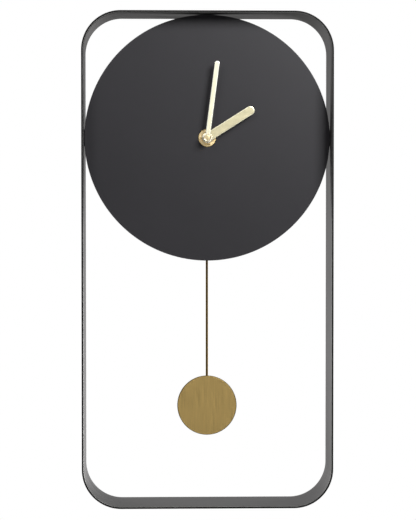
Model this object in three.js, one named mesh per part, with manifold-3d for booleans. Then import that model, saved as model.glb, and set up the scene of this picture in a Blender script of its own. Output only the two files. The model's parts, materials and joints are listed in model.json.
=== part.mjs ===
// Pendulum wall clock: a round steel dial held inside a bent steel band, with a battery movement
// behind the dial that turns two hands and swings a brass pendulum.
//
// Millimetres. +Z is up and -Y faces the room. The wall is the plane y = 0, and the origin is the
// point of the hanger plate that the wall screw carries.
import * as THREE from 'three';
import { mergeVertices } from 'three/addons/utils/BufferGeometryUtils.js';
import Module from 'manifold-3d';

const wasm = await Module();
wasm.setup();

// ---------------------------------------------------------------- driving dimensions

const GAP = 0.3; // left between faces that touch on the real clock
const CUT = 1; // how far a cutting tool runs past the face it opens

const band = { width: 243, height: 480, depth: 60, sheet: 2, cornerRadius: 38 };
const hanger = {
  hookBelowTop: 14, width: 36, reach: 14, sheet: 1.5, cornerRadius: 3,
  slotRadius: 2.25, headRadius: 4.5, headZ: -8.5, tabBelowHead: 9,
};
const dial = { recess: 18, sheet: 1.5, boreRadius: 4.15 };
const lug = { width: 16, sheet: 1.5, onDial: 12, onBand: 12 };

// Heights called front and rear here are above the dial's front face, and a front is the higher.
const washer = { radius: 8.35, front: 0.75, rear: 0.15 };
const nut = { acrossFlats: 12, front: 3.45, rear: 0.95 };
const hands = {
  sheet: 0.6,
  hour: { length: 53.2, width: 8.5, bossRadius: 5.1, degrees: 57.6, boreRadius: 3.7, front: 5.6 },
  minute: { length: 74.6, width: 4.5, bossRadius: 4.6, degrees: 7.4, boreRadius: 2, front: 8.6 },
  collet: { inner: 2.75, outer: 3.5, front: 7, rear: 4.6 },
  cap: { radius: 3.6, bore: 2.1, crownRadius: 2.4, shoulder: 0.8, front: 11.1, seat: 9.8, rear: 8.8 },
};

// From here down, y starts at the dial's rear face and grows towards the wall, and x and z start
// on the hands' axis.
const gasket = { radius: 8, front: 0.15, rear: 0.95 };
const bush = {
  radius: 3.95, bore: 2.8, chamfer: 0.4, tipHeight: 4.4,
  flangeRadius: 5.5, flangeFront: 1.1, flangeRear: 1.8,
};
const movement = { width: 58, top: 29, bottom: -66, wall: 1.5, cornerRadius: 4, front: 1.2, rear: 19 };
const bay = {
  top: -12.6, bottom: -28.2, thickness: 1.2, halfLength: 26,
  openHalf: 25.9, openTop: -12.8, openBottom: -28,
};
const saddle = { x: 15, halfWidth: 0.75, height: 3.5 };
const cell = {
  radius: 7.1, bodyLength: 49.2, nubRadius: 2.7, nubLength: 1.3, edge: 0.6, z: -20.4, standoff: 0.6,
};
const coverScrew = { headRadius: 2, headHeight: 1.2, shankRadius: 0.7, shankLength: 8, fromEdge: 3.6 };
const bridgeScrew = { headRadius: 1.7, headHeight: 1, shankRadius: 0.6, shankLength: 5.5 };
const bridge = { front: 14.6, rear: 15.6, pivotRadius: 0.8, screwRadius: 0.9 };
const board = { front: 17, rear: 17.9, left: -26.5, right: 26.5, bottom: -10.6, top: 1.5, pinRadius: 0.9 };
const stator = { front: 10.5, rear: 11.3, eyeRadius: 3.5, screwRadius: 0.9 };
const coil = { left: -18.6, right: -4, y: 11.9, z: 22.3, flange: 1, flangeHalf: 4.2, windingHalf: 3.8 };
const magnetRotor = { bore: 0.6, radius: 2.6, front: 9.7, rear: 11.7 };
const knob = { flutes: 20, radius: 6, valley: 5.6, thickness: 2.5, shaftRadius: 1.4, pivotRadius: 0.55 };
const pendulum = {
  pivotZ: -33.5, headZ: -54, hookZ: -72, rodY: 13.2, rodRadius: 1.15, hookBend: 2,
  bobZ: -261.4, bobRadius: 29.1, bobSheet: 3, bobEdge: 0.5,
};
const pin = { radius: 1, bore: 1.25, bossRadius: 3, frontBoss: 7.8, rearBoss: 15 };
const arm = {
  front: 9.5, rear: 11.5, hubFront: 8.3, hubRear: 12.7, halfWidth: 2.5, endRadius: 3.2, eyeRadius: 1.5,
  headRadius: 5.6, headBore: 4.05,
};
const drive = { magnetRadius: 3.7, magnetFront: 8.6, magnetRear: 11.3, postRadius: 2 };
const spool = { bore: 2.35, radius: 8, sleeve: 3, front: 2.9, rear: 7.6, flange: 0.6 };
const clip = {
  halfWidth: 8, sheet: 0.6, length: 10, aboveBobCentre: 4, sideGap: 0.45, rearGap: 0.25, frontGap: 0.05,
};

// ---------------------------------------------------------------- derived places

const bandTop = hanger.hookBelowTop;
const bandCentreZ = bandTop - band.height / 2;
const innerHalfWidth = band.width / 2 - band.sheet;
const dialRadius = innerHalfWidth - GAP;
const dialRear = -band.depth + dial.recess + dial.sheet;
const dialZ = bandTop - band.sheet - innerHalfWidth;

const floor = movement.front + movement.wall;
const coverFront = movement.rear + GAP;
const coverRear = coverFront + movement.wall;
const cellY = floor + cell.standoff + cell.radius;

/** The y of a height above the dial's front face. */
const proud = (height) => -dial.sheet - height;

// ---------------------------------------------------------------- geometry helpers

/** A closed geometry as a solid that can be joined and cut. */
function toSolid(geometry) {
  const bare = geometry.clone();
  bare.deleteAttribute('normal');
  bare.deleteAttribute('uv');
  const merged = mergeVertices(bare, 1e-5);
  const vertProperties = Float32Array.from(merged.attributes.position.array);
  const triVerts = Uint32Array.from(merged.index.array);
  return new wasm.Manifold(new wasm.Mesh({ numProp: 3, vertProperties, triVerts }));
}

/** The geometry of a solid. */
function toGeometry(solid) {
  const mesh = solid.getMesh();
  const geometry = new THREE.BufferGeometry();
  geometry.setAttribute('position', new THREE.BufferAttribute(mesh.vertProperties, 3));
  geometry.setIndex(new THREE.BufferAttribute(mesh.triVerts, 1));
  geometry.computeVertexNormals();
  return geometry;
}

/** The union of some geometries, less the tools that cut it. */
function build(pieces, tools = []) {
  const body = pieces.map(toSolid).reduce((a, b) => a.add(b));
  return toGeometry(tools.map(toSolid).reduce((a, b) => a.subtract(b), body));
}

/** Points from pairs of numbers. */
const pointsOf = (pairs) => pairs.map(([x, z]) => new THREE.Vector2(x, z));

/** The corners of a regular polygon round (x, z). */
function polygon(radius, sides, x = 0, z = 0) {
  return Array.from({ length: sides }, (_, i) => {
    const angle = (2 * Math.PI * i) / sides;
    return new THREE.Vector2(x + radius * Math.cos(angle), z + radius * Math.sin(angle));
  });
}

/** A shape from its corners, with round holes given as [x, z, radius]. */
function outline(points, holes = [], sides = 8) {
  const shape = new THREE.Shape(points);
  shape.holes = holes.map(([x, z, radius]) => new THREE.Path(polygon(radius, sides, x, z)));
  return shape;
}

/** Holes of one radius at some places, as outline() takes them. */
const holesAt = (places, radius) => places.map(({ x, z }) => [x, z, radius]);

/** The corners of an upright rectangle with round corners. */
function roundedRectangle(x0, x1, z0, z1, radius, cornerSides = 4) {
  const centres = [[x1, z1, 0], [x0, z1, 1], [x0, z0, 2], [x1, z0, 3]];
  return centres.flatMap(([x, z, quarter]) => {
    const cx = x === x0 ? x0 + radius : x1 - radius;
    const cz = z === z0 ? z0 + radius : z1 - radius;
    return Array.from({ length: cornerSides + 1 }, (_, i) => {
      const angle = (quarter + i / cornerSides) * (Math.PI / 2);
      return new THREE.Vector2(cx + radius * Math.cos(angle), cz + radius * Math.sin(angle));
    });
  });
}

/** An upright plate: a shape drawn in x and z, filling y0 to y1. */
function plate(shape, y0, y1) {
  const geometry = new THREE.ExtrudeGeometry(shape, { depth: y1 - y0, bevelEnabled: false });
  return geometry.rotateX(Math.PI / 2).translate(0, y1, 0);
}

/** A block between two corners. */
function block(x0, x1, y0, y1, z0, z1) {
  const geometry = new THREE.BoxGeometry(x1 - x0, y1 - y0, z1 - z0);
  return geometry.translate((x0 + x1) / 2, (y0 + y1) / 2, (z0 + z1) / 2);
}

/** A round bar along y. */
function bar(radius, y0, y1, x = 0, z = 0, sides = 8) {
  return new THREE.CylinderGeometry(radius, radius, y1 - y0, sides).translate(x, (y0 + y1) / 2, z);
}

/** A turned piece: [radius, y] points counter-clockwise, ending on the axis or closing on themselves. */
function turned(profile, sides) {
  return new THREE.LatheGeometry(pointsOf(profile), sides);
}

/** A turned ring of rectangular section. */
function ring(inner, outer, y0, y1, sides = 20) {
  return turned([[inner, y0], [outer, y0], [outer, y1], [inner, y1], [inner, y0]], sides);
}

/** The point at a distance and an angle, in degrees, from another. */
function polar(from, distance, degrees) {
  const angle = THREE.MathUtils.degToRad(degrees);
  return { x: from.x + distance * Math.cos(angle), z: from.z + distance * Math.sin(angle), degrees };
}

// ---------------------------------------------------------------- gears

const tooth = { addendum: 0.8, dedendum: 1.2, tipHalf: 0.3, rootHalf: 0.8 }; // in modules

/** A spur gear, with the middle of its first tooth on +x. */
function gear({ teeth, module }, y0, y1, boreRadius = 0) {
  const pitch = (teeth * module) / 2;
  const root = pitch - tooth.dedendum * module;
  const tip = pitch + tooth.addendum * module;
  const { rootHalf, tipHalf } = tooth;
  const corners = [[root, -rootHalf], [tip, -tipHalf], [tip, tipHalf], [root, rootHalf]];
  const points = Array.from({ length: teeth }, (_, i) =>
    corners.map(([radius, half]) => {
      const angle = (2 * Math.PI * i) / teeth + (half * module) / radius;
      return new THREE.Vector2(radius * Math.cos(angle), radius * Math.sin(angle));
    }),
  );
  return plate(outline(points.flat(), boreRadius ? [[0, 0, boreRadius]] : [], 12), y0, y1);
}

/** The angle at which a gear meshes with a driver at a given angle, in a direction from the driver. */
function meshed(driverAngle, driver, direction, driven) {
  const line = THREE.MathUtils.degToRad(direction);
  const rolled = ((driverAngle - line) * driver.teeth) / driven.teeth;
  return line + Math.PI - rolled + Math.PI / driven.teeth;
}

const FINE = 0.4; // modules of the going train
const COARSE = 0.6;
const MATCHED = FINE * (51 / 54); // sets 54 teeth at the centres that 51 have at FINE
const MOTION = 0.48; // module of the motion work

const gears = {
  // hand setting: the cannon pinion turns the minute wheel, and that turns the hour wheel
  cannonPinion: { teeth: 10, module: MOTION },
  minuteWheel: { teeth: 30, module: MOTION },
  minutePinion: { teeth: 8, module: MOTION },
  hourWheel: { teeth: 32, module: MOTION },
  knobPinion: { teeth: 10, module: MOTION },
  // going train: from the rotor down to the centre wheel
  rotorPinion: { teeth: 6, module: FINE },
  fifthWheel: { teeth: 36, module: FINE },
  fifthPinion: { teeth: 6, module: COARSE },
  secondsWheel: { teeth: 30, module: COARSE },
  secondsPinion: { teeth: 6, module: FINE },
  thirdWheel: { teeth: 45, module: FINE },
  thirdPinion: { teeth: 6, module: MATCHED },
  centreWheel: { teeth: 48, module: MATCHED },
};
const spacing = (a, b) => ((gears[a].teeth + gears[b].teeth) * gears[a].module) / 2;

const centre = { x: 0, z: 0 };
const minuteAxis = polar(centre, spacing('cannonPinion', 'minuteWheel'), 0);
const knobAxis = polar(minuteAxis, spacing('minuteWheel', 'knobPinion'), 30);
const thirdAxis = polar(centre, spacing('secondsPinion', 'thirdWheel'), 150);
const fifthAxis = polar(centre, spacing('secondsWheel', 'fifthPinion'), 80);
const rotorAxis = polar(fifthAxis, spacing('fifthWheel', 'rotorPinion'), 60);

const angles = { cannon: 0, seconds: 0 };
angles.minute = meshed(angles.cannon, gears.cannonPinion, minuteAxis.degrees, gears.minuteWheel);
angles.hour = meshed(angles.minute, gears.minutePinion, minuteAxis.degrees + 180, gears.hourWheel);
angles.knob = meshed(angles.minute, gears.minuteWheel, knobAxis.degrees, gears.knobPinion);
angles.third = meshed(angles.seconds, gears.secondsPinion, thirdAxis.degrees, gears.thirdWheel);
angles.centre = meshed(angles.third, gears.thirdPinion, thirdAxis.degrees + 180, gears.centreWheel);
angles.fifth = meshed(angles.seconds, gears.secondsWheel, fifthAxis.degrees, gears.fifthPinion);
angles.rotor = meshed(angles.fifth, gears.fifthWheel, rotorAxis.degrees, gears.rotorPinion);

// ---------------------------------------------------------------- materials

const finish = (color, roughness, metalness) =>
  new THREE.MeshStandardMaterial({ color, roughness, metalness });
const gunmetal = finish(0x4a4a4e, 0.45, 0.85);
const dialBlack = finish(0x29292b, 0.7, 0.2);
const paleGold = finish(0xe6dcae, 0.35, 0.9);
const brass = finish(0xa08a50, 0.4, 0.95);
const darkBrass = finish(0x5a4a24, 0.35, 0.95);
const brightBrass = finish(0xd9b565, 0.25, 1);
const steel = finish(0xb4b6ba, 0.3, 1);
const blackPlastic = finish(0x1b1b1c, 0.55, 0);
const whitePlastic = finish(0xe4e2da, 0.5, 0);
const rubber = finish(0x18181a, 0.85, 0);
const copper = finish(0xb06a3a, 0.35, 0.9);
const magnetGrey = finish(0x3d3e42, 0.45, 0.7);
const boardGreen = finish(0x2f5a3a, 0.6, 0);
const cellJacket = finish(0x6f7276, 0.4, 0.5);

// ---------------------------------------------------------------- assembly

const clock = new THREE.Group();
const core = new THREE.Group(); // everything on the hands' axis
core.position.set(0, dialRear, dialZ);
clock.add(core);

/** Adds a named piece to a group, at x, z and a turn about y that is clockwise from the room. */
function add(group, name, geometry, material, { x = 0, z = 0, turn = 0 } = {}) {
  const mesh = new THREE.Mesh(geometry, material);
  mesh.name = name;
  mesh.position.set(x, 0, z);
  mesh.rotation.y = turn;
  group.add(mesh);
}

// ---------------------------------------------------------------- band, dial and hanger

/** The bent band: a flat strip on edge, closed into a rounded rectangle. */
function bandGeometry() {
  const { width, height, depth, sheet, cornerRadius } = band;
  const loop = (inset) => {
    const [halfWidth, halfHeight] = [width / 2 - inset, height / 2 - inset];
    return roundedRectangle(-halfWidth, halfWidth, -halfHeight, halfHeight, cornerRadius - inset, 12);
  };
  const shape = outline(loop(0));
  shape.holes = [new THREE.Path(loop(sheet))];
  return plate(shape, -depth, 0).translate(0, 0, bandCentreZ);
}

/** The hanger plate: a keyhole tab on the wall plane, with a flange folded forward under the band. */
function hangerGeometry() {
  const { width, reach, sheet, cornerRadius, slotRadius, headRadius, headZ, tabBelowHead } = hanger;
  const top = bandTop - band.sheet - GAP;
  const sides = 24;
  const corners = roundedRectangle(-width / 2, width / 2, headZ - tabBelowHead, top, cornerRadius);
  const tab = plate(outline(corners), -sheet, 0);
  const flange = block(-width / 2, width / 2, -reach, -sheet / 2, top - sheet, top);
  const keyhole = [
    bar(headRadius, -sheet - CUT, CUT, 0, headZ, sides),
    block(-slotRadius, slotRadius, -sheet - CUT, CUT, headZ, 0),
    bar(slotRadius, -sheet - CUT, CUT, 0, 0, sides),
  ];
  return build([tab, flange], keyhole);
}

/** One angle lug, on the +x side: one leg on the dial's rear face and one on the band. */
function lugGeometry() {
  const { width, sheet, onDial, onBand } = lug;
  const outer = innerHalfWidth - GAP;
  const legs = pointsOf([
    [outer - onDial, GAP], [outer, GAP], [outer, GAP + onBand],
    [outer - sheet, GAP + onBand], [outer - sheet, GAP + sheet], [outer - onDial, GAP + sheet],
  ]);
  const geometry = new THREE.ExtrudeGeometry(new THREE.Shape(legs), { depth: width, bevelEnabled: false });
  return geometry.translate(0, 0, -width / 2);
}

add(clock, 'frame_band', bandGeometry(), gunmetal);
add(clock, 'hanger_plate', hangerGeometry(), steel);
add(core, 'dial_disc', ring(dial.boreRadius, dialRadius, -dial.sheet, 0, 96), dialBlack);
for (const [side, quarters] of [['right', 0], ['top', -1], ['left', 2]]) {
  add(core, `dial_lug_${side}`, lugGeometry(), gunmetal, { turn: (quarters * Math.PI) / 2 });
}

// ---------------------------------------------------------------- centre fixing

/** The threaded bush, with a flange that beds in the front of the movement's case. */
function bushGeometry() {
  const { radius, bore, chamfer, tipHeight, flangeRadius, flangeFront, flangeRear } = bush;
  const tip = proud(tipHeight);
  const rear = floor - 0.1;
  return turned([
    [bore, tip], [radius - chamfer, tip], [radius, tip + chamfer], [radius, flangeFront],
    [flangeRadius, flangeFront], [flangeRadius, flangeRear], [radius, flangeRear], [radius, rear],
    [bore, rear], [bore, tip],
  ], 20);
}

/** The hexagon nut that clamps the movement to the dial. */
function nutGeometry() {
  const corners = polygon(nut.acrossFlats / Math.sqrt(3), 6);
  return plate(outline(corners, [[0, 0, dial.boreRadius]], 24), proud(nut.front), proud(nut.rear));
}

const washerGeometry = ring(dial.boreRadius, washer.radius, proud(washer.front), proud(washer.rear), 32);
add(core, 'centre_bush', bushGeometry(), brass);
add(core, 'sealing_gasket', ring(dial.boreRadius, gasket.radius, gasket.front, gasket.rear), rubber);
add(core, 'fixing_washer', washerGeometry, brightBrass);
add(core, 'fixing_nut', nutGeometry(), brightBrass);

// ---------------------------------------------------------------- movement case and cover

const boardPosts = [-1, 1].map((side) => ({ x: side * 23.5, z: -7 }));
const bridgePosts = [{ x: -19.5, z: -6.5 }, { x: -24.5, z: 10.5 }, { x: 14.5, z: 12 }];
const statorPosts = [{ x: -21.8, z: coil.z }, { x: -0.8, z: coil.z }];
const cornerPosts = [-1, 1].flatMap((side) =>
  [movement.top - coverScrew.fromEdge, movement.bottom + coverScrew.fromEdge].map((z) => ({
    x: side * (movement.width / 2 - coverScrew.fromEdge), z,
  })),
);
const bearings = [thirdAxis, fifthAxis, rotorAxis, knobAxis];
const bearing = { radius: 1.6, height: 0.7, bore: 0.85, depth: 0.7 };
const postRadius = { corner: 2.2, bridge: 2, board: 1.5, stator: 1.6, stud: 0.7 };
const screwHole = { corner: 1, cornerDepth: 8, cover: 1.2, bridge: 0.9, bridgeDepth: 6 };
const minuteStudRear = 6.8;
const rodSlot = { half: 10, front: 5, rear: 16 }; // in the case's floor, for the pendulum

/** The outline of the case, drawn in by an inset. */
function caseOutline(inset) {
  const half = movement.width / 2 - inset;
  const [bottom, top] = [movement.bottom + inset, movement.top - inset];
  return outline(roundedRectangle(-half, half, bottom, top, movement.cornerRadius - inset));
}

/** The case: an open box with bay walls for the cell, and posts and bearings for everything inside. */
function caseGeometry() {
  const { front, rear, wall, bottom } = movement;
  const { thickness, halfLength } = bay;
  const shell = build([plate(caseOutline(0), front, rear)], [plate(caseOutline(wall), floor, rear + CUT)]);
  const root = floor - wall / 2;
  const post = ({ x, z }, radius, to) => bar(radius, root, to, x, z);
  const stud = (place, to) => post(place, postRadius.stud, to);
  const { halfWidth, height } = saddle;
  const saddles = [-saddle.x, saddle.x].map((x) =>
    block(x - halfWidth, x + halfWidth, root, floor + height, bay.bottom - 0.2, bay.top + 0.2),
  );
  const pieces = [
    shell,
    block(-halfLength, halfLength, root, rear, bay.top, bay.top + thickness),
    block(-halfLength, halfLength, root, rear, bay.bottom - thickness, bay.bottom),
    ...saddles,
    ...cornerPosts.map((p) => post(p, postRadius.corner, rear)),
    ...bridgePosts.map((p) => post(p, postRadius.bridge, bridge.front - GAP)),
    ...boardPosts.map((p) => post(p, postRadius.board, board.front - GAP)),
    ...boardPosts.map((p) => stud(p, board.rear + 0.3)),
    ...statorPosts.map((p) => post(p, postRadius.stator, stator.front - 0.2)),
    ...statorPosts.map((p) => stud(p, stator.rear + 1.5)),
    ...bearings.map((p) => post(p, bearing.radius, floor + bearing.height)),
    stud(minuteAxis, minuteStudRear),
    post({ x: 0, z: pendulum.pivotZ }, pin.bossRadius, pin.frontBoss),
    post({ x: 0, z: pendulum.headZ }, drive.postRadius, pin.frontBoss),
  ];
  const hollow = cell.radius + GAP;
  const cellHollow = new THREE.CylinderGeometry(hollow, hollow, movement.width - 2 * wall - GAP, 24);
  cellHollow.rotateZ(Math.PI / 2).translate(0, cellY, cell.z);
  const tools = [
    bar(dial.boreRadius, front - CUT, floor + CUT, 0, 0, 24),
    bar(bush.flangeRadius + GAP, front - CUT, bush.flangeRear + 0.2, 0, 0, 24),
    ...bearings.map(({ x, z }) => bar(bearing.bore, floor - bearing.depth, floor + CUT, x, z)),
    ...cornerPosts.map(({ x, z }) => bar(screwHole.corner, rear - screwHole.cornerDepth, rear + CUT, x, z)),
    ...bridgePosts.map(({ x, z }) =>
      bar(screwHole.bridge, bridge.front - screwHole.bridgeDepth, bridge.front + CUT, x, z),
    ),
    bar(pin.bore, floor - bearing.depth, pin.frontBoss + CUT, 0, pendulum.pivotZ, 12),
    block(-rodSlot.half, rodSlot.half, rodSlot.front, rodSlot.rear, bottom - CUT, bottom + wall + CUT),
    cellHollow,
  ];
  return build(pieces, tools);
}

/** The cover: it closes the back but for the cell's bay, and carries the rear end of the pivot pin. */
function coverGeometry() {
  const panel = plate(caseOutline(0), coverFront, coverRear);
  const boss = bar(pin.bossRadius, pin.rearBoss, coverFront + 0.5, 0, pendulum.pivotZ);
  const [from, to] = [coverFront - CUT, coverRear + CUT];
  const tools = [
    block(-bay.openHalf, bay.openHalf, from, to, bay.openBottom, bay.openTop),
    ...cornerPosts.map(({ x, z }) => bar(screwHole.cover, from, to, x, z)),
    bar(knob.shaftRadius + 0.4, from, to, knobAxis.x, knobAxis.z),
    bar(pin.bore, pin.rearBoss - CUT, coverFront + 0.2, 0, pendulum.pivotZ, 12),
  ];
  return build([panel, boss], tools);
}

/** A small slotted screw standing on a face at y, with its shank going forward. */
function screwGeometry({ headRadius, headHeight, shankRadius, shankLength }, y) {
  const head = turned([
    [0, y - shankLength], [shankRadius, y - shankLength], [shankRadius, y], [headRadius, y],
    [headRadius, y + headHeight], [0, y + headHeight],
  ], 8);
  const reach = headRadius + CUT;
  const slot = block(-reach, reach, y + headHeight / 2, y + headHeight + CUT, -0.25, 0.25);
  return build([head], [slot]);
}

add(core, 'movement_case', caseGeometry(), blackPlastic);
add(core, 'movement_cover', coverGeometry(), blackPlastic);
cornerPosts.forEach((place, i) => {
  add(core, `cover_screw_${i + 1}`, screwGeometry(coverScrew, coverRear + 0.2), steel, place);
});

// ---------------------------------------------------------------- going train

const arborFront = floor - 0.4;
const arborRear = bridge.rear - 0.2;
const arborRadius = { seconds: 0.6, others: 0.5, rotor: 0.45 };
const wheelY = { third: [9.2, 10], seconds: [11.2, 12], fifth: [12.8, 13.6], centre: [7.2, 8] };
const pinionY = { third: [7, 9.6], seconds: [9, 11.6], fifth: [11, 13.2], rotor: [12.6, 14] };
const cannonSleeve = { bore: 0.9, pipe: 1.8, seat: 1.6, wheelBore: 1.85 };

/** An arbor with a wheel and a pinion moulded on it, from y to the rear pivot. */
function arborGeometry(name, radius, y = arborFront) {
  const wheel = gear(gears[`${name}Wheel`], ...wheelY[name]);
  const pinion = gear(gears[`${name}Pinion`], ...pinionY[name]);
  return build([bar(radius, y, arborRear), wheel, pinion]);
}

/** The bridge that holds the rear pivots of the going train. */
function bridgeGeometry() {
  const corners = pointsOf([
    [-20.9, -9], [9, -9], [17, 9], [17, 14.5], [10, 21], [-1.5, 21], [-1.5, 16.8], [-16, 16.8],
    [-26.9, 13], [-26.9, 8],
  ]);
  const pivots = holesAt([centre, thirdAxis, fifthAxis, rotorAxis], bridge.pivotRadius);
  const screws = holesAt(bridgePosts, bridge.screwRadius);
  return plate(outline(corners, [...pivots, ...screws]), bridge.front, bridge.rear);
}

const rotorBar = bar(arborRadius.rotor, arborFront, arborRear);
const wheels = {
  seconds_wheel: [arborGeometry('seconds', arborRadius.seconds, proud(8)), centre, angles.seconds],
  third_wheel: [arborGeometry('third', arborRadius.others), thirdAxis, angles.third],
  fifth_wheel: [arborGeometry('fifth', arborRadius.others), fifthAxis, angles.fifth],
  centre_wheel: [gear(gears.centreWheel, ...wheelY.centre, cannonSleeve.wheelBore), centre, angles.centre],
  rotor_pinion: [build([rotorBar, gear(gears.rotorPinion, ...pinionY.rotor)]), rotorAxis, angles.rotor],
};
for (const [name, [geometry, { x, z }, angle]] of Object.entries(wheels)) {
  add(core, name, geometry, whitePlastic, { x, z, turn: -angle });
}
const magnetRing = ring(magnetRotor.bore, magnetRotor.radius, magnetRotor.front, magnetRotor.rear, 16);
add(core, 'rotor_magnet', magnetRing, magnetGrey, { x: rotorAxis.x, z: rotorAxis.z });
add(core, 'train_bridge', bridgeGeometry(), whitePlastic);
bridgePosts.forEach((place, i) => {
  add(core, `bridge_screw_${i + 1}`, screwGeometry(bridgeScrew, bridge.rear + 0.1), steel, place);
});

// ---------------------------------------------------------------- motion work and setting knob

const motionY = {
  cannon: [5, 6.2], cannonRear: 8.8, minute: [5.2, 6], minutePinion: [3, 5.6], hour: [3.2, 4.2],
};
const pipes = { sides: 20, cannonTip: 9.4, hourTip: 7.4, hourRadius: 2.6, hourBore: 2, hourRear: 3.7 };

/** The cannon pinion: its pipe carries the minute hand, and its sleeve the centre wheel. */
function cannonGeometry() {
  const { bore, pipe, seat } = cannonSleeve;
  const tip = proud(pipes.cannonTip);
  const [front, rear] = motionY.cannon;
  const middle = (front + rear) / 2;
  const pieces = [
    bar(pipe, tip, middle, 0, 0, pipes.sides),
    gear(gears.cannonPinion, front, rear),
    bar(seat, middle, motionY.cannonRear, 0, 0, pipes.sides),
  ];
  return build(pieces, [bar(bore, tip - CUT, motionY.cannonRear + CUT)]);
}

/** The hour wheel: its pipe runs in the bush and carries the hour hand. */
function hourWheelGeometry() {
  const tip = proud(pipes.hourTip);
  const pipe = bar(pipes.hourRadius, tip, pipes.hourRear, 0, 0, pipes.sides);
  const bore = bar(pipes.hourBore, tip - CUT, motionY.hour[1] + CUT, 0, 0, pipes.sides);
  return build([pipe, gear(gears.hourWheel, ...motionY.hour)], [bore]);
}

/** The minute wheel and its pinion, which run on a stud of the case. */
function minuteWheelGeometry() {
  const pinion = gear(gears.minutePinion, ...motionY.minutePinion);
  const wheel = gear(gears.minuteWheel, ...motionY.minute);
  return build([pinion, wheel], [bar(0.9, motionY.minutePinion[0] - CUT, motionY.minute[1] + CUT)]);
}

/** The setting knob: pinion and shaft inside the case, fluted grip behind the cover. */
function knobGeometry() {
  const { flutes, radius, valley, thickness, shaftRadius, pivotRadius } = knob;
  const rim = Array.from({ length: flutes * 2 }, (_, i) => {
    const reach = i % 2 ? valley : radius;
    const angle = (Math.PI * i) / flutes;
    return new THREE.Vector2(reach * Math.cos(angle), reach * Math.sin(angle));
  });
  const gripFront = coverRear + GAP;
  const shaftFront = motionY.hour[1] - 0.2;
  const pieces = [
    bar(pivotRadius, arborFront, shaftFront + 0.2),
    bar(shaftRadius, shaftFront, gripFront + 0.2),
    gear(gears.knobPinion, ...motionY.cannon),
    plate(outline(rim), gripFront, gripFront + thickness),
  ];
  return build(pieces);
}

add(core, 'cannon_pinion', cannonGeometry(), whitePlastic, { turn: -angles.cannon });
add(core, 'hour_wheel', hourWheelGeometry(), whitePlastic, { turn: -angles.hour });
add(core, 'minute_wheel', minuteWheelGeometry(), whitePlastic, { ...minuteAxis, turn: -angles.minute });
add(core, 'setting_knob', knobGeometry(), blackPlastic, { ...knobAxis, turn: -angles.knob });

// ---------------------------------------------------------------- hands

/** A stamped hand that points up: a round boss with a straight, round-ended blade. */
function handGeometry({ length, width, bossRadius, boreRadius, front }) {
  const half = width / 2;
  const shoulder = Math.acos(half / bossRadius);
  const shape = new THREE.Shape();
  shape.absarc(0, length - half, half, 0, Math.PI, false);
  shape.absarc(0, 0, bossRadius, Math.PI - shoulder, shoulder, false);
  shape.holes = [new THREE.Path(polygon(boreRadius, 20))];
  const depth = hands.sheet;
  const geometry = new THREE.ExtrudeGeometry(shape, { depth, bevelEnabled: false, curveSegments: 8 });
  return geometry.rotateX(Math.PI / 2).translate(0, proud(front) + depth, 0);
}

/** The round cap that holds the minute hand on its pipe. */
function capGeometry() {
  const { radius, bore, crownRadius, shoulder } = hands.cap;
  const [front, seat, rear] = [hands.cap.front, hands.cap.seat, hands.cap.rear].map(proud);
  return turned([
    [0, front], [crownRadius, front], [radius, front + shoulder], [radius, rear],
    [bore, rear], [bore, seat], [0, seat],
  ], 24);
}

const { collet } = hands;
const colletGeometry = ring(collet.inner, collet.outer, proud(collet.front), proud(collet.rear));
const turnOf = (hand) => ({ turn: THREE.MathUtils.degToRad(hand.degrees) });
add(core, 'hour_hand', handGeometry(hands.hour), paleGold, turnOf(hands.hour));
add(core, 'hour_hand_collet', colletGeometry, brass);
add(core, 'minute_hand', handGeometry(hands.minute), paleGold, turnOf(hands.minute));
add(core, 'minute_hand_cap', capGeometry(), brightBrass);

// ---------------------------------------------------------------- motor and circuit

const coilSleeve = { boreY: 0.6, boreZ: 1.7, wall: 0.4, clearance: 0.3 };
const coreLamination = { left: -23.5, right: 0.9, half: 1.5, front: 11.5, rear: 12.3 };
const contact = { sheet: 0.3, halfHeight: 3 };

/** A box along x, centred on the motor coil. */
function coilBlock(x0, x1, halfY, halfZ) {
  return block(x0, x1, coil.y - halfY, coil.y + halfY, coil.z - halfZ, coil.z + halfZ);
}

/** The stator lamination: two legs to the coil core and an eye round the rotor. */
function statorGeometry() {
  const corners = pointsOf([
    [-23.2, 13.4], [12, 13.4], [12, 24.3], [-2.5, 24.3], [-2.5, 17.4], [-20, 17.4], [-20, 24.3],
    [-23.2, 24.3],
  ]);
  const holes = [...holesAt([rotorAxis], stator.eyeRadius), ...holesAt(statorPosts, stator.screwRadius)];
  return plate(outline(corners, holes, 20), stator.front, stator.rear);
}

/** The core lamination that the coil is wound round. */
function coreGeometry() {
  const { left, right, half, front, rear } = coreLamination;
  const corners = roundedRectangle(left, right, coil.z - half, coil.z + half, 0.5, 2);
  return plate(outline(corners, holesAt(statorPosts, stator.screwRadius)), front, rear);
}

/** The bobbin: a square sleeve with a flange at each end. */
function bobbinGeometry() {
  const { left, right, flange, flangeHalf } = coil;
  const { boreY, boreZ, wall } = coilSleeve;
  const sleeve = coilBlock(left, right, boreY + wall, boreZ + wall);
  const flanges = [left, right - flange].map((x) => coilBlock(x, x + flange, flangeHalf, flangeHalf));
  return build([sleeve, ...flanges], [coilBlock(left - CUT, right + CUT, boreY, boreZ)]);
}

/** The winding between the flanges. */
function windingGeometry() {
  const { left, right, flange, windingHalf } = coil;
  const clear = coilSleeve.wall + coilSleeve.clearance;
  const inset = flange + 0.2;
  return build(
    [coilBlock(left + inset, right - inset, windingHalf, windingHalf)],
    [coilBlock(left, right, coilSleeve.boreY + clear, coilSleeve.boreZ + clear)],
  );
}

/** The circuit board, on two pins of the case. */
function boardGeometry() {
  const corners = roundedRectangle(board.left, board.right, board.bottom, board.top, 0.6, 2);
  return plate(outline(corners, holesAt(boardPosts, board.pinRadius)), board.front, board.rear);
}

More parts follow.
